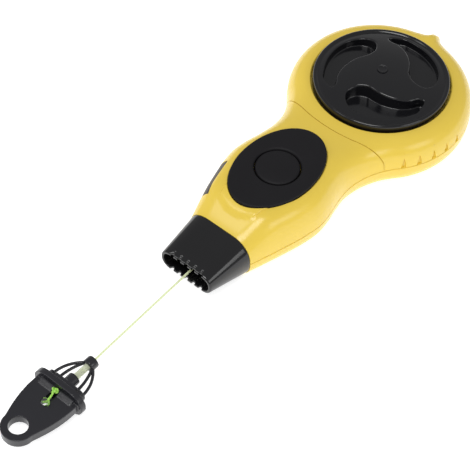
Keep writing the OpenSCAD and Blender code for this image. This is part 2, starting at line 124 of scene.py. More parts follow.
class Finish(Tree):                            # one material on a Principled shader
    def __init__(self, name, **uniform):
        self.material = bpy.data.materials.new(name)
        self.material.use_nodes = True
        super().__init__(self.material.node_tree)
        self.shader = self.tree.nodes["Principled BSDF"]
        for key, value in uniform.items():
            self.shader.inputs[key.replace("_", " ")].default_value = value
        self.place = self.node("ShaderNodeTexCoord", out=3)

    def noise(self, scale, detail=3.0, rough=0.55, stretch=None):
        place = self.place
        if stretch:
            place = self.node("ShaderNodeMapping", {}, {"Vector": place, "Scale": stretch})
        return self.node("ShaderNodeTexNoise", {}, {"Vector": place, "Scale": scale, "Detail": detail,
                                                    "Roughness": rough})

    def blendColour(self, share, a, b):
        n = self.node("ShaderNodeMix", {"data_type": "RGBA"}, {0: share, 6: a, 7: b}, out=2)
        return n

    def ramp(self, value, stops):
        return self.node("ShaderNodeValToRGB", {"stops": stops}, [value])

    def bump(self, height, strength, distance, under=None):
        return self.node("ShaderNodeBump", {}, {"Height": height, "Strength": strength,
                                               "Distance": distance, "Normal": under})

    def use(self, **wires):
        for key, wire in wires.items():
            self.tree.links.new(wire.socket, self.shader.inputs[key.replace("_", " ")])
        return self.material


def sRgb(r, g, b):
    def lin(c):
        c /= 255
        return c / 12.92 if c <= 0.04045 else ((c + 0.055) / 1.055) ** 2.4
    return (lin(r), lin(g), lin(b), 1)


def mouldedPlastic(name, colour, deeper, rough, grain, coat=0.0):
    f = Finish(name, Specular_IOR_Level=0.5, Coat_Weight=coat, Coat_Roughness=0.08)
    cloud = f.noise(38, 3)
    fine = f.noise(1500, 2, 0.6)
    dull = f.noise(210, 4, 0.62)
    scuff = f.noise(60, 5, 0.7, (1, 7, 3))
    base = f.blendColour(cloud, deeper, colour)
    lift = ((scuff - 0.62) * 6).clip() * 0.04
    gloss = dull * 0.1 + (rough - 0.05) + lift
    return f.use(Base_Color=base, Roughness=gloss, Normal=f.bump(fine, grain, 0.00005))


yellowShell = mouldedPlastic("yellowShell", sRgb(239, 208, 82), sRgb(236, 204, 76), 0.22, 0.12)
glossBlack = mouldedPlastic("glossBlack", sRgb(25, 25, 27), sRgb(18, 18, 20), 0.12, 0.1)
wheelBlack = mouldedPlastic("wheelBlack", sRgb(24, 24, 27), sRgb(17, 17, 20), 0.13, 0.14)
hookBlack = mouldedPlastic("hookBlack", sRgb(40, 40, 45), sRgb(30, 30, 35), 0.24, 0.4)
reelBlack = mouldedPlastic("reelBlack", sRgb(40, 40, 44), sRgb(30, 30, 34), 0.4, 0.5)
doorBrown = mouldedPlastic("doorBrown", sRgb(44, 30, 24), sRgb(33, 23, 18), 0.45, 0.4)
leverNylon = mouldedPlastic("leverNylon", sRgb(226, 226, 216), sRgb(212, 212, 202), 0.42, 0.4)


def gripRubber():
    f = Finish("gripRubber", Specular_IOR_Level=0.22)
    tone = f.noise(60, 4)
    grain = f.noise(2400, 3, 0.7)
    pebble = f.node("ShaderNodeTexVoronoi", {}, {"Vector": f.place, "Scale": 1700.0})
    dust = ((f.noise(520, 5, 0.75) - 0.66) * 7).clip() * 0.25
    base = f.blendColour(dust, f.blendColour(tone, sRgb(21, 20, 23), sRgb(27, 26, 29)), sRgb(70, 70, 74))
    rough = tone * 0.12 + 0.5
    bumped = f.bump(pebble, 0.35, 0.00008, f.bump(grain, 0.4, 0.00006))
    return f.use(Base_Color=base, Roughness=rough, Normal=bumped)


def brightSteel():
    f = Finish("brightSteel", Metallic=1.0)
    brushed = f.noise(900, 4, 0.6, (1, 1, 0.04))
    base = f.blendColour(brushed, sRgb(150, 152, 156), sRgb(196, 198, 202))
    return f.use(Base_Color=base, Roughness=brushed * 0.25 + 0.2, Normal=f.bump(brushed, 0.2, 0.00003))


def greyFelt():
    f = Finish("greyFelt", Specular_IOR_Level=0.1, Sheen_Weight=0.3)
    hair = f.noise(1600, 5, 0.75, (1, 0.25, 1))
    clump = f.noise(260, 3)
    base = f.blendColour(hair, sRgb(132, 128, 120), sRgb(188, 184, 174))
    return f.use(Base_Color=f.blendColour(clump, base, sRgb(150, 146, 138)), Roughness=hair * 0.1 + 0.85,
                 Normal=f.bump(hair, 0.9, 0.0002))


def chalkLine(name, pale, deep, twist):
    f = Finish(name, Specular_IOR_Level=0.25)
    turns = f.node("ShaderNodeTexWave", {"wave_type": "BANDS", "bands_direction": "DIAGONAL"},
                   {"Vector": f.place, "Scale": twist, "Distortion": 0.6, "Detail": 2.0})
    fuzz = f.noise(5200, 4, 0.7)
    base = f.blendColour((turns * 0.6 + fuzz * 0.4).clip(), deep, pale)
    return f.use(Base_Color=base, Roughness=fuzz * 0.2 + 0.6, Normal=f.bump(turns + fuzz * 0.5, 0.6, 0.0001))


def milkySleeve():
    f = Finish("milkySleeve", Transmission_Weight=0.35, IOR=1.45, Specular_IOR_Level=0.5)
    haze = f.noise(700, 4, 0.6, (1, 0.3, 1))
    base = f.blendColour(haze, sRgb(214, 222, 186), sRgb(236, 240, 218))
    return f.use(Base_Color=base, Roughness=haze * 0.2 + 0.2, Normal=f.bump(haze, 0.3, 0.00008))


gripRubber, brightSteel, greyFelt = gripRubber(), brightSteel(), greyFelt()
paleLine = chalkLine("paleLine", sRgb(246, 252, 216), sRgb(226, 238, 178), 420.0)
tailLine = chalkLine("tailLine", sRgb(200, 246, 128), sRgb(132, 206, 62), 420.0)
woundLine = chalkLine("woundLine", sRgb(208, 226, 142), sRgb(150, 176, 84), 300.0)
milkySleeve = milkySleeve()
print("finishes made")


def newPiece(name, points, faces, finish, sharp=35, scale=mm):
    data = bpy.data.meshes.new(name)
    data.from_pydata([tuple(float(c) * scale for c in p) for p in points], [], [tuple(f) for f in faces])
    data.validate()
    piece = bpy.data.objects.new(name, data)
    bpy.context.scene.collection.objects.link(piece)
    smoothPiece(piece, finish, sharp)
    return piece


def smoothPiece(piece, finish, sharp=35):
    data = piece.data
    data.materials.clear()
    data.materials.append(finish)
    data.shade_smooth()
    data.set_sharp_from_angle(angle=math.radians(sharp))
    return piece


def bakeModifiers(piece):
    graph = bpy.context.evaluated_depsgraph_get()
    data = bpy.data.meshes.new_from_object(piece.evaluated_get(graph))
    piece.modifiers.clear()
    piece.data = data
    return piece


def carve(piece, cutters, operation="DIFFERENCE"):
    for cutter in cutters:
        m = piece.modifiers.new("cut", "BOOLEAN")
        m.object, m.operation, m.solver = cutter, operation, "EXACT"
    bakeModifiers(piece)
    for cutter in cutters:
        bpy.data.objects.remove(cutter)
    return piece


def cleanFaces(piece, merge=0.0):
    bm = bmesh.new()
    bm.from_mesh(piece.data)
    if merge:
        bmesh.ops.remove_doubles(bm, verts=bm.verts, dist=merge)
    bmesh.ops.recalc_face_normals(bm, faces=bm.faces)
    bm.to_mesh(piece.data)
    bm.free()
    return piece


def loopFaces(rows, count, closed=True):       # quads between stacked rings of the same count
    span = count if closed else count - 1
    return [(r * count + j, r * count + (j + 1) % count,
             (r + 1) * count + (j + 1) % count, (r + 1) * count + j)
            for r in range(rows - 1) for j in range(span)]


def lathe(name, outline, finish, sides=128, centre=(0, 0), sharp=35):
    ring = [(math.cos(a), math.sin(a)) for a in np.linspace(0, 2 * math.pi, sides, endpoint=False)]
    points = [(centre[0] + r * c, centre[1] + r * s, z) for r, z in outline for c, s in ring]
    faces = loopFaces(len(outline), sides)
    if outline[0][0] < 1e-6 or outline[-1][0] < 1e-6 or outline[0] != outline[-1]:
        faces += [tuple(range(sides))[::-1], tuple((len(outline) - 1) * sides + j for j in range(sides))]
    piece = newPiece(name, points, faces, finish, sharp)
    return smoothPiece(cleanFaces(piece, 1e-7), finish, sharp)


def grow(name, sizes, finish, build):           # a piece from a node tree, left as a plain mesh
    group = bpy.data.node_groups.new(name, "GeometryNodeTree")
    made = group.interface.new_socket("Geometry", in_out="OUTPUT", socket_type="NodeSocketGeometry")
    for key, value in sizes.items():
        kind = "NodeSocketInt" if isinstance(value, int) else "NodeSocketFloat"
        group.interface.new_socket(key, in_out="INPUT", socket_type=kind)
    t = Tree(group)
    start, end = group.nodes.new("NodeGroupInput"), group.nodes.new("NodeGroupOutput")
    built = build(t, {key: Wire(t, start.outputs[key]) for key in sizes})
    whole = t.node("GeometryNodeRealizeInstances", {}, [built])
    whole = t.node("GeometryNodeSetShadeSmooth", {"domain": "FACE"}, [whole])
    whole = t.node("GeometryNodeSetMaterial", {}, {"Geometry": whole, "Material": finish})
    group.links.new(whole.socket, end.inputs[made.name])
    host = bpy.data.objects.new(name + "Host", bpy.data.meshes.new(name + "Host"))
    bpy.context.scene.collection.objects.link(host)
    modifier = host.modifiers.new("grow", "NODES")
    modifier.node_group = group
    for item in group.interface.items_tree:
        if item.in_out == "INPUT":
            modifier[item.identifier] = sizes[item.name]
    graph = bpy.context.evaluated_depsgraph_get()
    data = bpy.data.meshes.new_from_object(host.evaluated_get(graph))
    piece = bpy.data.objects.new(name, data)
    bpy.context.scene.collection.objects.link(piece)
    bpy.data.objects.remove(host)
    cleanFaces(piece)
    return piece


def wireAlong(t, curve, radius, sides):        # a round wire swept along a curve, with closed ends
    profile = t.node("GeometryNodeCurvePrimitiveCircle", {"mode": "RADIUS"},
                     {"Resolution": sides, "Radius": radius})
    return t.node("GeometryNodeCurveToMesh", {},
                  {"Curve": curve, "Profile Curve": profile, "Fill Caps": True})


def shifted(t, geometry, place, turn=(0, 0, 0)):
    return t.node("GeometryNodeTransform", {}, {"Geometry": geometry, "Translation": place, "Rotation": turn})


def joined(t, *parts):
    n = t.tree.nodes.new("GeometryNodeJoinGeometry")
    for part in reversed(parts):
        t.tree.links.new(part.socket, n.inputs[0])
    return Wire(t, n.outputs[0])


def joinInto(piece, others):
    bm = bmesh.new()
    for o in [piece, *others]:
        bm.from_mesh(o.data)
    bm.to_mesh(piece.data)
    bm.free()
    for o in others:
        bpy.data.objects.remove(o)
    return piece


def smoothClosed(points, steps):               # closed Catmull-Rom curve through the points
    p = np.array(points, float)
    n, out = len(p), []
    for i in range(n):
        a, b, c, d = p[i - 1], p[i], p[(i + 1) % n], p[(i + 2) % n]
        for k in range(steps):
            t = k / steps
            out.append(0.5 * (2 * b + (c - a) * t + (2 * a - 5 * b + 4 * c - d) * t * t
                              + (3 * b - a - 3 * c + d) * t ** 3))
    return np.array(out)


def ease(t):
    t = np.clip(t, 0, 1)
    return t * t * (3 - 2 * t)


case = {"headR": 38, "tipOut": 3.3, "coverTop": 21.5, "partZ": 10.2, "partSlope": 0.018, "wall": 2,
        "length": 100, "neckW": 20.4, "gripW": 23.5, "noseW": 15.3, "gripTop": 24, "noseTop": 18.5,
        "edge": 9.5, "foot": 6, "fullness": 2.3, "seamR": 60, "crease": 0.42, "across": 56,
        "ledge": 0.65, "ledgeOut": 3.6}
padSize = {"y": -66.4, "w": 15.8, "l": 23.4, "seat": 23.2, "top": 24.9, "hole": 9.15}
neckY = 1.24 * case["headR"]


def partAt(y):
    return case["partZ"] + case["partSlope"] * y


def topAt(y):
    drop = (case["gripTop"] - case["noseTop"]) / ease(14 / 18)
    return (case["coverTop"] + (case["gripTop"] - case["coverTop"]) * ease((-y - 0.8 * case["headR"]) / 22)
            - drop * ease((-y - case["length"] + 14) / 18))


def ledgeAt(x, y):                             # low platform round the front end of the pad
    q = np.hypot(x / (padSize["w"] + case["ledgeOut"]),
                 (y - padSize["y"]) / (padSize["l"] + case["ledgeOut"]))
    inside = ease((1 - q) * 17 / 0.9 + 0.5)
    return case["ledge"] * inside * ease((-y - 72) / 12)


def outline():                                 # right half of the plan: points and inward directions
    c = case
    head, neck = c["headR"], c["neckW"]
    tip = np.array([[1, head + c["tipOut"]], [2.2, head + 0.58 * c["tipOut"]], [4, head + 0.21 * c["tipOut"]],
                    [6.5, math.sqrt(head ** 2 - 42.25) + 0.3]])
    tipFine = []
    guide = np.vstack([tip[0] * 2 - tip[1], tip, [9.5, math.sqrt(head ** 2 - 90.25)]])
    for i in range(1, 5):
        for k in range(4):
            t = k / 4
            a, b, d, e = guide[i - 1], guide[i], guide[min(i + 1, 5)], guide[min(i + 2, 5)]
            tipFine.append(0.5 * (2 * b + (d - a) * t + (2 * a - 5 * b + 4 * d - e) * t * t
                                  + (3 * b - a - 3 * d + e) * t ** 3))
    points = list(tipFine)
    inward = [-p / np.linalg.norm(p) for p in tipFine]
    fillet = (neck ** 2 + neckY ** 2 - head ** 2) / (2 * (head - neck))
    join = math.degrees(math.atan2(neckY, neck + fillet))
    top = 90 - math.degrees(math.asin(9.5 / head))
    for a in np.radians(np.linspace(top, -join, 84)):
        points.append(head * np.array([math.cos(a), math.sin(a)]))
        inward.append(-np.array([math.cos(a), math.sin(a)]))
    for a in np.radians(np.linspace(180 - join, 180, 15)[1:]):
        points.append(np.array([neck + fillet, -neckY]) + fillet * np.array([math.cos(a), math.sin(a)]))
        inward.append(np.array([math.cos(a), math.sin(a)]))
    span = c["length"] - neckY
    mix = lambda a, b, t: a + (b - a) * t
    grip, nose = c["gripW"], c["noseW"]
    handle = np.array([[mix(neck, grip, 0.3), -neckY + 0.132 * span], [neck, -neckY],
                       [mix(neck, grip, 0.3), -neckY - 0.132 * span],
                       [mix(neck, grip, 0.8), -neckY - 0.264 * span], [grip, -neckY - 0.396 * span],
                       [mix(grip, nose, 0.15), -neckY - 0.547 * span],
                       [mix(grip, nose, 0.4), -neckY - 0.698 * span],
                       [mix(grip, nose, 0.69), -neckY - 0.849 * span], [nose, -c["length"]],
                       [mix(grip, nose, 1.33), -c["length"] - 0.151 * span]])
    for i in range(1, 8):
        for t in (np.arange(1, 10) / 9):
            t = min(t, 0.999) if i == 7 else t
            a, b, d, e = handle[i - 1:i + 3]
            p = 0.5 * (2 * b + (d - a) * t + (2 * a - 5 * b + 4 * d - e) * t * t
                       + (3 * b - a - 3 * d + e) * t ** 3)
            v = 0.5 * ((d - a) + 2 * (2 * a - 5 * b + 4 * d - e) * t + 3 * (3 * b - a - 3 * d + e) * t * t)
            f = float(ease((i + t - 6) / 1.9))
            n = np.array([v[1], -v[0]]) / np.linalg.norm(v) * (1 - f) + np.array([-1, 0]) * f
            points.append(p)
            inward.append(n / np.linalg.norm(n))
    return np.array(points), np.array(inward)


planPoints, planInward = outline()


def shellSkin(up, start, steps, crease):       # rings from the parting line up to the flat, then across it
    c = case
    u = np.linspace(0, 1, steps + 1) ** 0.92
    width = c["edge"] if up else c["foot"]
    inset = start + (width - start) * (1 - np.cos(u * math.pi / 2) ** (2 / c["fullness"]))
    share = np.sin(u * math.pi / 2) ** (2 / c["fullness"])
    inset, share = list(inset), list(share)
    if crease:
        low = 0.25 / (11 if up else 9)
        inset = [start + crease, start + 0.04] + inset[2:]
        share = [0.0, low] + share[2:]
    rows = []
    for d, s in zip(inset, share):
        p = planPoints + planInward * d
        y = p[:, 1].copy()
        y[-1] = -c["length"]
        goal = topAt(y) - start if up else np.full(len(y), float(start))
        z0 = partAt(y)
        z = z0 + (goal - z0) * s
        right = np.column_stack([p[:, 0], y, z])
        left = right[::-1] * [-1, 1, 1]
        rows.append((right[::-1], left[::-1]))
    rings = [np.vstack([r, l]) for r, l in rows]  # nose on the right, round the tip, nose on the left
    last = rings[-1]
    n = len(planPoints)
    grid = []
    for v in np.linspace(0, 1, c["across"] + 1)[1:-1]:
        a, b = last[:n], last[n:][::-1]
        q = a * (1 - v) + b * v
        if up and start == 0:
            q[:, 2] += ledgeAt(q[:, 0], q[:, 1])
        grid.append(q)
    return rings, grid


def shell(name, up, finish, steps=14):
    n = len(planPoints)
    points, faces = [], []

    def addSkin(start, flip, crease):
        base = sum(len(p) for p in points)
        rings, grid = shellSkin(up, start, steps, crease)
        for r in rings:
            points.append(r)
        for g in grid:
            points.append(g)
        m = 2 * n
        quads = [(base + r * m + j, base + r * m + j + 1, base + (r + 1) * m + j + 1, base + (r + 1) * m + j)
                 for r in range(len(rings) - 1) for j in range(m - 1)]
        top = base + (len(rings) - 1) * m
        rightCol = [top + j for j in range(n)]
        leftCol = [top + m - 1 - j for j in range(n)]
        inner = [[base + len(rings) * m + g * n + j for j in range(n)] for g in range(len(grid))]
        cols = [rightCol] + inner + [leftCol]
        for a, b in zip(cols[:-1], cols[1:]):
            quads += [(a[j], a[j + 1], b[j + 1], b[j]) for j in range(n - 1)]
        noseEdge = [base + r * m for r in range(len(rings))] + [c[0] for c in cols[1:-1]] \
            + [base + r * m + m - 1 for r in range(len(rings) - 1, -1, -1)]
        tipEdge = [c[n - 1] for c in cols[1:-1]]
        faces.extend([q[::-1] for q in quads] if flip else quads)
        return base, noseEdge, m

    flip = not up
    outBase, outNose, m = addSkin(0.0, flip, case["crease"])
    inBase, inNose, _ = addSkin(float(case["wall"]), not flip, 0)
    rim = [(outBase + j + 1, outBase + j, inBase + j, inBase + j + 1) for j in range(m - 1)]
    nose = [(outNose[j], outNose[j + 1], inNose[j + 1], inNose[j]) for j in range(len(outNose) - 1)]
    faces.extend(rim + nose)
    piece = newPiece(name, np.vstack(points), faces, finish)
    return cleanFaces(piece, 1e-7)


def ovalRing(w, l, n=160):
    a = np.linspace(0, 2 * math.pi, n, endpoint=False)
    return np.column_stack([w * np.cos(a), l * np.sin(a) + padSize["y"]])


def surfaceZ(x, y):                            # height of the case's top at a plan point near the pad
    d = np.min(np.hypot(planPoints[:, 0] - abs(x), planPoints[:, 1] - y))
    c = case
    q = min(max(1 - d / c["edge"], 0), 1)
    share = (1 - q ** c["fullness"]) ** (1 / c["fullness"])
    z0 = partAt(y)
    return z0 + (topAt(y) - z0) * share + float(ledgeAt(x, y))


def padCutter():
    rings = []
    flare = [(0.2, -9, 0), (0.2, None, -0.28), (0.5, None, 0.02), (1.6, None, 1.1)]
    for grow, fixed, over in flare:
        ring = ovalRing(padSize["w"] + grow, padSize["l"] + grow)
        z = [padSize["seat"] if fixed is not None else surfaceZ(x, y) + over for x, y in ring]
        rings.append(np.column_stack([ring, z]))
    rings[1][:, 2] = np.maximum(rings[1][:, 2], padSize["seat"] + 0.1)
    rings[2][:, 2] = np.maximum(rings[2][:, 2], padSize["seat"] + 0.2)
    n = len(rings[0])
    lid = rings[-1].copy()
    lid[:, 2] = 30
    rings.append(lid)
    last = (len(rings) - 1) * n
    faces = loopFaces(len(rings), n) + [tuple(range(n))[::-1], tuple(last + j for j in range(n))]
    return cleanFaces(newPiece("padCutter", np.vstack(rings), faces, yellowShell))


door = {"x": 6.76, "y": 80.8, "z": 12.05, "r": 13.8, "turn": 13.5, "tilt": 4, "rise": 45.5, "length": 16.8,
        "gap": 0.28, "sink": 0.12}


def doorPlace():
    return (Matrix.Translation(Vector((-door["x"], -door["y"], door["z"])) * mm)
            @ Matrix.Rotation(math.radians(door["turn"]), 4, "Z")
            @ Matrix.Rotation(math.radians(door["tilt"]), 4, "X"))


def doorArc(name, inner, outer, low, high, length, finish, steps=24):
    a = np.radians(np.linspace(180 - high, 180 - low, steps))
    edge = [(r * math.cos(t), r * math.sin(t)) for r, ts in ((inner, a), (outer, a[::-1])) for t in ts]
    points = [(x, y, z) for y in np.linspace(-length / 2, length / 2, 2) for x, z in edge]
    n = len(edge)
    faces = loopFaces(2, n) + [tuple(range(n))[::-1], tuple(range(n, 2 * n))]
    piece = newPiece(name, points, faces, finish)
    piece.data.transform(doorPlace())
    return cleanFaces(piece)


def doorCutter(grow=0.0):
    d = door
    return doorArc("doorCutter", d["r"] - 3.2, d["r"] + 3, -5 - grow * 4, d["rise"] + grow * 4.2,
                   d["length"] + 2 * grow, yellowShell)


def makeDoor():                                # cut from the same skin as the case, so it follows the flank
    d = door
    skin = shell("skinCopy", True, doorBrown)
    plate = doorArc("doorBlank", d["r"] - 3.2, d["r"] + 3, 1.5, d["rise"], d["length"], doorBrown)
    carve(plate, [skin], "INTERSECT")
    plate.name = "fillerDoor"
    lean = math.radians(22)
    shift = doorPlace().to_3x3() @ Vector((math.cos(lean), 0, -math.sin(lean))) * d["sink"] * mm
    plate.data.transform(Matrix.Translation(shift))
    m = plate.modifiers.new("edge", "BEVEL")
    m.width, m.segments, m.limit_method, m.angle_limit = 0.18 * mm, 2, "ANGLE", math.radians(50)
    bakeModifiers(plate)
    barrel = lathe("barrel", [(0.5, -8.4), (0.8, -8.4), (0.8, 8.4), (0.5, 8.4), (0.5, -8.4)], doorBrown, 24)
    barrel.data.transform(doorPlace() @ Matrix.Translation(Vector((-12.85, 0, 0)) * mm)
                          @ Matrix.Rotation(math.radians(90), 4, "X"))
    carve(plate, [barrel], "UNION")
    smoothPiece(plate, doorBrown, 32)
    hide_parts("filler_door")
    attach(plate, "door")
    print("door made:", len(plate.data.polygons))


def notchCutters():
    out = []
    for k in range(5):
        a = math.radians(3.5 - 10.2 * k)
        cone = lathe("notch", [(1.25, 0), (0.08, 8)], yellowShell, 24)
        cone.data.transform(Matrix.Rotation(a, 4, "Z") @ Matrix.Translation(Vector((38.25, 0, 9.2)) * mm)
                            @ Matrix.Rotation(math.radians(-13), 4, "Y"))
        out.append(cone)
    return out


def makeCase():
    c = case
    seamY = c["seamR"] - 0.92 * c["headR"]
    lower = shell("lowerCase", False, yellowShell)
    handle = shell("handleCase", True, yellowShell)
    cover = shell("headCase", True, yellowShell)
    drum = lathe("drum", [(c["seamR"] + 0.18, -5), (c["seamR"] + 0.18, 40)], yellowShell, 400, (0, seamY))
    well = lathe("well", [(padSize["hole"], 10), (padSize["hole"], 30)], yellowShell, 96, (0, padSize["y"]))
    carve(handle, [drum, padCutter(), well, doorCutter(door["gap"])])
    keep = lathe("keep", [(c["seamR"] - 0.18, -5), (c["seamR"] - 0.18, 40)], yellowShell, 400, (0, seamY))
    carve(cover, [keep], "INTERSECT")
    tray = lathe("tray", [(0, 16), (30, 16), (30, 20.6), (0, 20.6)], yellowShell, 160)
    carve(cover, [tray], "UNION")
    recess = lathe("recess", [(0, 17.8), (28.7, 17.8), (28.7, 21.1), (29.15, 21.55), (30.5, 22.4), (30.5, 30),
                              (0, 30)], yellowShell, 220)
    bore = lathe("bore", [(7.9, 10), (7.9, 25)], yellowShell, 64)
    carve(cover, [recess, bore, *notchCutters()])
    for piece, node in ((lower, "lower_shell"), (handle, "handle_shell"), (cover, "head_cover")):
        smoothPiece(piece, yellowShell, 32)
        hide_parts(node)
        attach(piece, "housing")
    print("case made:", len(lower.data.polygons), len(handle.data.polygons), len(cover.data.polygons))


makeCase()
makeDoor()


def makePad():
    s = padSize
    edge = [(0.0, 0.0), (0.0, 1.1), (0.06, 1.35), (0.2, 1.55), (0.45, 1.66), (0.9, 1.7)]
    rings = []
    for d, z in edge:
        rings.append(np.column_stack([ovalRing(s["w"] - d, s["l"] - d), np.full(160, s["seat"] + z)]))
    hole = np.column_stack([s["hole"] * np.cos(np.linspace(0, 2 * math.pi, 160, endpoint=False)),
                            s["hole"] * np.sin(np.linspace(0, 2 * math.pi, 160, endpoint=False)) + s["y"]])
    outer = rings[-1][:, :2]
    for t in np.linspace(0, 1, 18)[1:-1]:
        flat = outer * (1 - t) + (hole + (hole - [0, s["y"]]) * 0.115) * t
        lift = 0.12 * math.sin(math.pi * t)
        rings.append(np.column_stack([flat, np.full(160, s["seat"] + 1.7 + lift)]))
    for grow, z in ((1.0, 1.7), (0.62, 1.6), (0.28, 1.32), (0.08, 0.9), (0, 0.4), (0, 0)):
        r = (s["hole"] + grow) / s["hole"]
        flat = (hole - [0, s["y"]]) * r + [0, s["y"]]
        rings.append(np.column_stack([flat, np.full(160, s["seat"] + z)]))
    rings.append(rings[0].copy())
    faces = loopFaces(len(rings), 160)
    pad = newPiece("gripPad", np.vstack(rings), faces, gripRubber)
    cleanFaces(pad, 1e-7)
    smoothPiece(pad, gripRubber, 40)
    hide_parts("grip_pad")
    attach(pad, "housing")
    top = 24.8
    button = lathe("thumbButton", [(0, 15.4), (3.2, 15.4), (3.2, top - 1.2), (7.2, top - 1.2), (7.2, 21.6),
                                   (8.8, 21.6), (8.8, top - 0.75), (8.74, top - 0.5), (8.55, top - 0.25),
                                   (8.2, top - 0.06), (7.7, top + 0.06), (6.6, top + 0.2), (5.2, top + 0.35),
                                   (3.6, top + 0.5), (1.8, top + 0.6), (0, top + 0.64)], gripRubber, 128,
                   (0, s["y"]))
    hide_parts("button")
    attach(button, "button")
    print("pad and button made")


makePad()

wheel = {"r": 28, "rimTop": 24, "rise": 4.4, "floor": 21, "domeR": 25.6, "turn": -6, "grid": 0.9}
comma = [(0.78, -4), (0.845, 10), (0.84, 22), (0.84, 34), (0.84, 46), (0.84, 58), (0.83, 70), (0.80, 80),
         (0.76, 88), (0.69, 95), (0.62, 98), (0.52, 97), (0.45, 93), (0.40, 84), (0.385, 74), (0.41, 62),
         (0.46, 48), (0.52, 34), (0.59, 21), (0.66, 8), (0.70, -2)]


def domeZ(r):
    return wheel["rimTop"] - 0.5 + wheel["rise"] * (1 - np.clip(r / wheel["domeR"], 0, 1) ** 2.2)


def pocketRings(turn):                         # rings from the dome over the edge down to the floor
    flat = [(wheel["r"] * r * math.cos(a), wheel["r"] * r * math.sin(a))
            for r, a in [(r, math.radians(turn - a)) for r, a in comma]]
    line = smoothClosed(flat, 7)
    area = 0.5 * np.sum(line[:, 0] * np.roll(line[:, 1], -1) - np.roll(line[:, 0], -1) * line[:, 1])
    if area < 0:
        line = line[::-1]
    along = np.roll(line, -1, axis=0) - np.roll(line, 1, axis=0)
    out = np.column_stack([along[:, 1], -along[:, 0]]) / np.linalg.norm(along, axis=1)[:, None]
    rings = []
    for d, drop in ((0.95, 0.0), (0.62, 0.03), (0.36, 0.13), (0.16, 0.31), (0.04, 0.56), (0.0, 0.95)):
        p = line + out * d
        rings.append(np.column_stack([p, domeZ(np.hypot(*p.T)) - drop]))
    for d, up in ((-0.12, 0.75), (-0.16, 0.5), (-0.24, 0.28), (-0.4, 0.1), (-0.62, 0.02), (-0.8, 0.0)):
        p = line + out * d
        rings.append(np.column_stack([p, np.full(len(p), wheel["floor"] + up)]))
    return rings


def insideOf(points, ring):
    x, y = points[:, 0], points[:, 1]
    inside = np.zeros(len(points), bool)
    for (ax, ay), (bx, by) in zip(ring, np.roll(ring, -1, axis=0)):
        crosses = (ay > y) != (by > y)
        inside ^= crosses & (x < (bx - ax) * (y - ay) / (by - ay + 1e-12) + ax)
    return inside


def fillRegion(outer, holes, spacing, height):  # triangles between an outer ring and holes
    rings = ([outer] if outer is not None else []) + holes
    pts = [Vector(p[:2]) for ring in rings for p in ring]
    edges, base = [], 0
    for ring in rings:
        edges += [(base + j, base + (j + 1) % len(ring)) for j in range(len(ring))]
        base += len(ring)
    lo, hi = np.min(outer, axis=0)[:2], np.max(outer, axis=0)[:2]
    gx, gy = np.meshgrid(np.arange(lo[0], hi[0], spacing), np.arange(lo[1], hi[1], spacing))
    gx[1::2] += spacing / 2
    seeds = np.column_stack([gx.ravel(), gy.ravel()])
    ok = insideOf(seeds, outer[:, :2])
    for hole in holes:
        ok &= ~insideOf(seeds, hole[:, :2])
    for ring in rings:
        flat = ring[:, :2]
        for i in range(0, len(flat), 1):
            ok &= np.hypot(*(seeds - flat[i]).T) > spacing * 0.55
    pts += [Vector(p) for p in seeds[ok]]
    verts, _, tris, *_ = delaunay_2d_cdt(pts, edges, [], 0, 1e-6)
    flat = np.array([tuple(v) for v in verts])
    tris = np.array([t for t in tris if len(t) == 3])
    mid = flat[tris].mean(axis=1)
    ok = insideOf(mid, outer[:, :2])
    for hole in holes:
        ok &= ~insideOf(mid, hole[:, :2])
    return np.column_stack([flat, height(flat)]), [tuple(t) for t in tris[ok]]


def makeWheel():
    w = wheel
    a = np.linspace(0, 2 * math.pi, 240, endpoint=False)
    ring = np.column_stack([np.cos(a), np.sin(a)])
    rim = [(w["domeR"], 23.5), (25.85, 23.43), (26.05, 23.5), (26.3, 23.7), (26.6, 23.88), (27.0, 23.96),
           (27.35, 23.88), (27.65, 23.68), (27.86, 23.35), (27.97, 22.9), (28.0, 22.3), (28.0, 19.4),
           (26.8, 18.2), (25, 18.2), (25, 19.4), (9.5, 19.4), (9.5, 18.2), (0.001, 18.2)]
    rimRings = [np.column_stack([ring * r, np.full(len(ring), z)]) for r, z in rim]
    pockets = [pocketRings(w["turn"] + 120 * k) for k in range(3)]
    fillPoints, fillFaces = fillRegion(rimRings[0], [p[0] for p in pockets], w["grid"],
                                       lambda p: domeZ(np.hypot(p[:, 0], p[:, 1])))
    points, faces, base = [fillPoints], list(fillFaces), len(fillPoints)
    stack = rimRings
    points.append(np.vstack(stack))
    faces += [tuple(base + i for i in f) for f in loopFaces(len(stack), len(ring))]
    base += sum(len(r) for r in stack)
    faces.append(tuple(range(base - len(ring), base)))
    for rings in pockets:
        n = len(rings[0])
        points.append(np.vstack(rings))
        faces += [tuple(base + i for i in f) for f in loopFaces(len(rings), n)]
        base += n * len(rings)
        floorPoints, floorFaces = fillRegion(rings[-1], [], 1.6, lambda p: np.full(len(p), float(w["floor"])))
        points.append(floorPoints)
        faces += [tuple(base + i for i in f) for f in floorFaces]
        base += len(floorPoints)
    piece = newPiece("windingWheel", np.vstack(points), faces, wheelBlack)
    cleanFaces(piece, 2e-6)
    smoothPiece(piece, wheelBlack, 50)
    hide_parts("winding_wheel")
    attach(piece, "reel")
    cap = lathe("wheelCap", [(0, 27.7), (2.15, 27.7), (2.2, 28.1), (2.12, 28.32), (1.95, 28.4), (1.75, 28.36),
                             (1.6, 28.22), (1.4, 28.16), (0, 28.18)], wheelBlack, 64)
    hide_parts("wheel_cap")
    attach(cap, "reel")
    print("wheel made:", len(piece.data.polygons), "faces")


makeWheel()

nozzle = {"length": 20, "mouthW": 12.4, "mouthH": 4.7, "mouthZ": 9.9, "wall": 1.3, "notches": 5, "pitch": 3.5,
          "depth": 1.0, "notchR": 0.78}


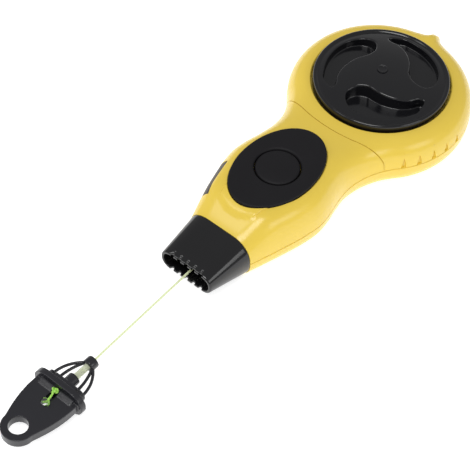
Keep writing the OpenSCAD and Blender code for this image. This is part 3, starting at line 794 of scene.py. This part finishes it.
def halfLoop(w, z0, z1, width, inset, steps):
    u = np.linspace(0, 1, steps + 1)
    d = inset + (width - inset) * (1 - np.cos(u * math.pi / 2) ** (2 / case["fullness"]))
    return np.column_stack([w - d, z0 + (z1 - z0) * np.sin(u * math.pi / 2) ** (2 / case["fullness"])])


def noseLoop(t, inset, steps=22):
    n, c = nozzle, case
    mix = lambda a, b: a + (b - a) * t
    w, z0 = mix(c["noseW"] - 0.15, n["mouthW"]), mix(partAt(-c["length"]), n["mouthZ"])
    hi = halfLoop(w, z0, mix(c["noseTop"] - 0.15, n["mouthZ"] + n["mouthH"]) - inset,
                  mix(c["edge"], n["mouthH"] + 0.6), inset, steps)
    lo = halfLoop(w, z0, mix(0.15, n["mouthZ"] - n["mouthH"]) + inset,
                  mix(c["foot"], n["mouthH"] + 0.2), inset, steps)
    flat = np.linspace(0, 1, 110)[1:-1, None]
    acrossTop = hi[-1] * (1 - flat) + hi[-1] * [-1, 1] * flat
    acrossLow = lo[-1] * [-1, 1] * (1 - flat) + lo[-1] * flat
    return np.vstack([hi, acrossTop, hi[::-1] * [-1, 1], (lo * [-1, 1])[1:], acrossLow, lo[::-1][:-1]])


def notchShare(x):
    k = np.round(x / nozzle["pitch"])
    k = np.clip(k, -(nozzle["notches"] - 1) / 2, (nozzle["notches"] - 1) / 2)
    d = np.abs(x - k * nozzle["pitch"]) / nozzle["notchR"]
    return np.clip((1 - d ** 4), 0, 1) ** 0.5


def makeNozzle():
    n = nozzle
    rows = []
    reach = lambda t: -case["length"] - n["length"] * t

    def addRow(t, inset, back=0.0, bite=0.0):
        loop = noseLoop(t, inset)
        y = reach(t) + back + bite * n["depth"] * notchShare(loop[:, 0])
        rows.append(np.column_stack([loop[:, 0], y, loop[:, 1]]))

    addRow(0, 0.5, 0.0)
    addRow(0, 0.12, 0.0)
    addRow(0.02, 0.0)
    for t in np.linspace(0.05, 0.85, 22):
        addRow(t, 0.0)
    for t in np.linspace(0.87, 0.965, 9):
        addRow(t, 0.0, 0, ease((t - 0.86) / 0.12) * 1.0)
    for t, inset, back in ((0.985, 0.06, 0), (0.996, 0.18, 0), (1, 0.38, 0), (1, 0.65, -0.02), (1, 0.92, 0.0),
                           (0.996, 1.12, 0), (0.985, 1.24, 0)):
        addRow(t, inset, back, 1.0)
    for t in (0.96, 0.9, 0.8, 0.6, 0.3, 0.1):
        addRow(t, n["wall"], 0, 1.0 if t > 0.95 else (0.5 if t > 0.85 else 0))
    addRow(0, 3.4)
    count = len(rows[0])
    faces = loopFaces(len(rows) + 1, count)
    total = len(rows) * count
    faces = [tuple(i % total for i in f) for f in faces]
    piece = newPiece("nozzleTip", np.vstack(rows), faces, glossBlack)
    cleanFaces(piece, 1e-7)
    smoothPiece(piece, glossBlack, 50)
    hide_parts("nozzle")
    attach(piece, "housing")
    print("nozzle made:", len(piece.data.polygons), "faces")


makeNozzle()


def cadCopy(name, nodes, finish):
    bm = bmesh.new()
    for node in nodes:
        bm.from_mesh(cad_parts[node].data)
    bmesh.ops.remove_doubles(bm, verts=bm.verts, dist=1e-6)
    data = bpy.data.meshes.new(name)
    bm.to_mesh(data)
    bm.free()
    piece = bpy.data.objects.new(name, data)
    bpy.context.scene.collection.objects.link(piece)
    data.materials.clear()
    data.materials.append(finish)
    return piece


def softenMoulding(piece, voxel, rounds, factor=0.5):
    m = piece.modifiers.new("remesh", "REMESH")
    m.mode, m.voxel_size, m.use_smooth_shade = "VOXEL", voxel * mm, True
    s = piece.modifiers.new("soften", "SMOOTH")
    s.factor, s.iterations = factor, rounds
    bakeModifiers(piece)
    return piece


cage = {"Outer start": 7.4 * mm, "Outer radius": 14.6 * mm, "Outer sweep": math.radians(50),
        "Inner start": 4.5 * mm, "Inner radius": 25.4 * mm, "Inner sweep": math.radians(26.1),
        "Rib radius": 0.6 * mm, "Sides": 16, "Steps": 28}
knotFray = {"Strands": 9, "Length": 2.6 * mm, "Strand radius": 0.09 * mm, "Spread": 0.75, "Seed": 4}


def cageRibs(t, s):                            # two arcs on one side, turned over for the other side
    half = []
    for name in ("Outer", "Inner"):
        arc = t.node("GeometryNodeCurveArc", {"mode": "RADIUS"},
                     {"Resolution": s["Steps"], "Radius": s[name + " radius"], "Start Angle": 0.0,
                      "Sweep Angle": s[name + " sweep"]})
        x = s[name + " start"] - s[name + " radius"]
        half.append(shifted(t, arc, t.node("ShaderNodeCombineXYZ", {}, [x, -0.0002, 0.0])))
    half = wireAlong(t, joined(t, *half), s["Rib radius"], s["Sides"])
    return joined(t, half, shifted(t, half, (0, 0, 0), (0, math.pi, 0)))


def frayedStrands(t, s):                       # short bent fibres that fan out from the cut end
    tip = t.node("ShaderNodeCombineXYZ", {}, [0.0, -1 * s["Length"], 0.0])
    bend = t.node("GeometryNodeCurvePrimitiveBezierSegment", {},
                  {"Resolution": 8, "Start": (0, 0.0003, 0), "End": tip,
                   "Start Handle": (0.0001, -0.0008, 0.0002), "End Handle": (0.0006, -0.0012, 0.0005)})
    strand = wireAlong(t, bend, s["Strand radius"], 6)
    spots = t.node("GeometryNodeMeshLine", {}, {"Count": s["Strands"], "Offset": (0, 0, 0)})
    turn = t.node("FunctionNodeRandomValue", {"data_type": "FLOAT_VECTOR"},
                  {0: (-0.55, -1.4, -0.75), 1: (0.35, 1.4, 0.75), "Seed": s["Seed"]})
    size = t.node("FunctionNodeRandomValue", {"data_type": "FLOAT"},
                  {2: s["Spread"], 3: 1.15, "Seed": s["Seed"]}, 1)
    return t.node("GeometryNodeInstanceOnPoints", {},
                  {"Points": spots, "Instance": strand, "Rotation": turn, "Scale": size})


def makeHook():
    plate = cadCopy("hookPlate", ["hook_plate"], hookBlack)
    softenMoulding(plate, 0.2, 5)
    smoothPiece(plate, hookBlack, 180)
    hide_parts("hook_plate")
    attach(plate, "hook")
    ribs = grow("hookRibs", cage, hookBlack, cageRibs)
    ribs.data.transform(Matrix.Translation(Vector((0, -184.3, 6)) * mm))
    ring = lathe("hookCage", [(1.35, 0), (2.3, 0), (2.5, 0.08), (2.6, 0.3), (2.6, 3.1), (2.5, 3.32),
                              (2.3, 3.4), (1.35, 3.4), (1.35, 0)], hookBlack, 48)
    ring.data.transform(Matrix.Translation(Vector((0, -170.4, 6)) * mm)
                        @ Matrix.Rotation(math.pi / 2, 4, "X"))
    joinInto(ring, [ribs])
    smoothPiece(ring, hookBlack, 60)
    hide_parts("hook_cage")
    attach(ring, "hook")
    print("hook made:", len(plate.data.polygons), len(ring.data.polygons))


def makeKnot():
    t = np.linspace(0, 2 * math.pi, 90, endpoint=False)
    loop = np.column_stack([np.sin(t) + 2 * np.sin(2 * t), np.cos(t) - 2 * np.cos(2 * t),
                            -np.sin(3 * t) * 1.3])
    path = loop * 0.36 + [0.1, -190.6, 9.3]
    piece = tube("lineKnot", np.vstack([path, path[:1]]), 0.42, 12, tailLine)
    tail = [(0.2 + 0.55 * u + 0.25 * math.sin(3 * u), -191.2 - 3.6 * u, 9.5 - 0.9 * u * u)
            for u in np.linspace(0, 1, 16)]
    end = tube("knotTail", tail, 0.4, 12, tailLine)
    fray = grow("frayedEnd", knotFray, tailLine, frayedStrands)
    fray.data.transform(Matrix.Translation(Vector((0.85, -194.5, 8.7)) * mm))
    joinInto(piece, [end, fray])
    smoothPiece(piece, tailLine, 60)
    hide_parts("line_knot")
    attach(piece, "hook")
    print("knot made:", len(piece.data.polygons))


def tube(name, path, radius, sides, finish):
    p = np.array(path, float)
    d = np.gradient(p, axis=0)
    d /= np.linalg.norm(d, axis=1)[:, None]
    s = np.cross(d, [0, 0, 1])
    s /= np.linalg.norm(s, axis=1)[:, None]
    u = np.cross(s, d)
    rings = []
    for i in range(len(p)):
        a = np.linspace(0, 2 * math.pi, sides, endpoint=False)
        rings.append(p[i] + radius * (np.cos(a)[:, None] * s[i] + np.sin(a)[:, None] * u[i]))
    last = (len(p) - 1) * sides
    faces = loopFaces(len(p), sides) + [tuple(range(sides)), tuple(last + j for j in range(sides))]
    return smoothPiece(cleanFaces(newPiece(name, np.vstack(rings), faces, finish)), finish, 60)


spring = {"Turns": 3.0, "Coil radius": 5.6 * mm, "Height": 3.3 * mm, "Wire radius": 0.3 * mm,
          "Steps": 40, "Sides": 10}
wound = {"Turns": 9.0, "Coil radius": 20.5 * mm, "Height": 8.0 * mm, "Wire radius": 0.45 * mm,
         "Steps": 90, "Sides": 8}


def coil(t, s):
    turns = t.node("GeometryNodeCurveSpiral", {},
                   {"Resolution": s["Steps"], "Rotations": s["Turns"], "Start Radius": s["Coil radius"],
                    "End Radius": s["Coil radius"], "Height": s["Height"]})
    return wireAlong(t, turns, s["Wire radius"], s["Sides"])


def makeCoils():
    piece = grow("buttonSpring", spring, brightSteel, coil)
    piece.data.transform(Matrix.Translation(Vector((0, padSize["y"], 19.35)) * mm))
    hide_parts("button_spring")
    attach(piece, "housing")
    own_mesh(piece)
    turns = grow("woundLine", wound, woundLine, coil)
    turns.data.transform(Matrix.Translation(Vector((0, 0, 5.7)) * mm))
    core = lathe("woundCore", [(12, 5.5), (20.3, 5.5), (20.3, 13.7), (12, 13.7), (12, 5.5)], woundLine, 96)
    joinInto(turns, [core])
    smoothPiece(turns, woundLine, 40)
    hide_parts("line_winding")
    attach(turns, "reel")
    print("coils made:", len(piece.data.polygons), len(turns.data.polygons))


screwRows = {"Half 1": 20.95 * mm, "Row 1": 24.97 * mm, "Half 2": 10.5 * mm, "Row 2": -92.0 * mm}


def makeScrews():                              # one cross-slotted screw, set on the case's four screw posts
    one = lathe("screwOne", [(0, 0.55), (0.6, 0.55), (1.9, 0.5), (2.2, 0.62), (2.3, 0.85), (2.3, 2.5),
                             (1.1, 2.7), (1.1, 13.6), (0.7, 14.2), (0, 14.2)], brightSteel, 40)
    square = ((-1, -1), (1, -1), (1, 1), (-1, 1))
    sides = [(3, 2, 1, 0), (4, 5, 6, 7), (0, 1, 5, 4), (1, 2, 6, 5), (2, 3, 7, 6), (3, 0, 4, 7)]
    for sx, sy in ((1.7, 0.32), (0.32, 1.7)):
        corners = [(x * sx, y * sy, z) for z in (-1, 1.3) for x, y in square]
        carve(one, [newPiece("blade", corners, sides, brightSteel)])

    def rows(t, s):
        spots = []
        for k in (1, 2):
            start = t.node("ShaderNodeCombineXYZ", {}, [-1 * s["Half %d" % k], s["Row %d" % k], 0.0])
            step = t.node("ShaderNodeCombineXYZ", {}, [s["Half %d" % k] * 2, 0.0, 0.0])
            spots.append(t.node("GeometryNodeMeshLine", {},
                                {"Count": 2, "Start Location": start, "Offset": step}))
        shape = t.node("GeometryNodeObjectInfo", {}, {"Object": one}, "Geometry")
        return t.node("GeometryNodeInstanceOnPoints", {}, {"Points": joined(t, *spots), "Instance": shape})

    piece = grow("caseScrews", screwRows, brightSteel, rows)
    bpy.data.objects.remove(one)
    smoothPiece(piece, brightSteel, 35)
    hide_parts("case_screws")
    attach(piece, "housing")
    print("screws made:", len(piece.data.polygons))


def makeLine():
    start, end = np.array([0, -100, 9.2]), np.array([0, -173.3, 6.0])
    path = [start + (end - start) * t for t in np.linspace(0, 1, 60)]
    line = tube("drawnLine", path, 0.45, 12, paleLine)
    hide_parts("line_outside")
    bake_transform(line)
    print("line made")


makeHook()
makeKnot()
makeCoils()
makeScrews()
makeLine()

carried = {"reel_spindle": brightSteel, "thrust_washer": brightSteel,
           "line_guide": brightSteel, "lever_pin": brightSteel, "door_pin": brightSteel,
           "wiper_felts": greyFelt, "dust_seal": greyFelt,
           "reel_core": reelBlack, "reel_flange": reelBlack,
           "brake_lever": leverNylon, "brake_shoe": gripRubber,
           "line_inside": paleLine, "line_sleeve": milkySleeve}
for node, finish in carried.items():
    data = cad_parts[node].data
    data.materials.clear()
    data.materials.append(finish)


stageLights = [("softTop", (0.12, -0.55, 1.2), (0, -0.08, 0), (0.55, 0.55), 6.0),
               ("softSide", (0.95, -0.05, 0.5), (0, -0.06, 0), (0.45, 0.4), 1.5),
               ("softStrip", (-0.47, -0.52, 1.05), (0, -0.15, 0), (0.26, 0.26), 0.8),
               ("softLeft", (-0.9, -0.35, 0.45), (0, -0.04, 0), (0.6, 0.5), 2.0)]


def makeStage():
    floor = newPiece("studioFloor", [(-3, -3, 0), (3, -3, 0), (3, 3, 0), (-3, 3, 0)], [(0, 1, 2, 3)],
                     glossBlack, scale=1)
    f = Finish("paleFloor", Roughness=0.9, Specular_IOR_Level=0.1)
    f.shader.inputs["Base Color"].default_value = (0.8, 0.8, 0.8, 1)
    f.shader.inputs["Emission Color"].default_value = (1, 1, 1, 1)
    f.shader.inputs["Emission Strength"].default_value = 0.74
    floor.data.materials.clear()
    floor.data.materials.append(f.material)
    floor.location.z = -0.00002
    world = bpy.data.worlds.new("studioWorld")
    bpy.context.scene.world = world
    world.use_nodes = True
    world.node_tree.nodes["Background"].inputs["Color"].default_value = (1, 1, 1, 1)
    world.node_tree.nodes["Background"].inputs["Strength"].default_value = 0.4
    for name, place, aim, size, power in stageLights:
        data = bpy.data.lights.new(name, "AREA")
        data.shape, data.energy = "RECTANGLE", power
        data.size, data.size_y = size
        lamp = bpy.data.objects.new(name, data)
        lamp.location = place
        lamp.rotation_mode = "QUATERNION"
        lamp.rotation_quaternion = (Vector(place) - Vector(aim)).to_track_quat("Z", "Y")
        lamp.visible_glossy = name != "softLeft"
        bpy.context.scene.collection.objects.link(lamp)
    bpy.context.scene.view_settings.view_transform = "Standard"


makeStage()
print("scene ready")
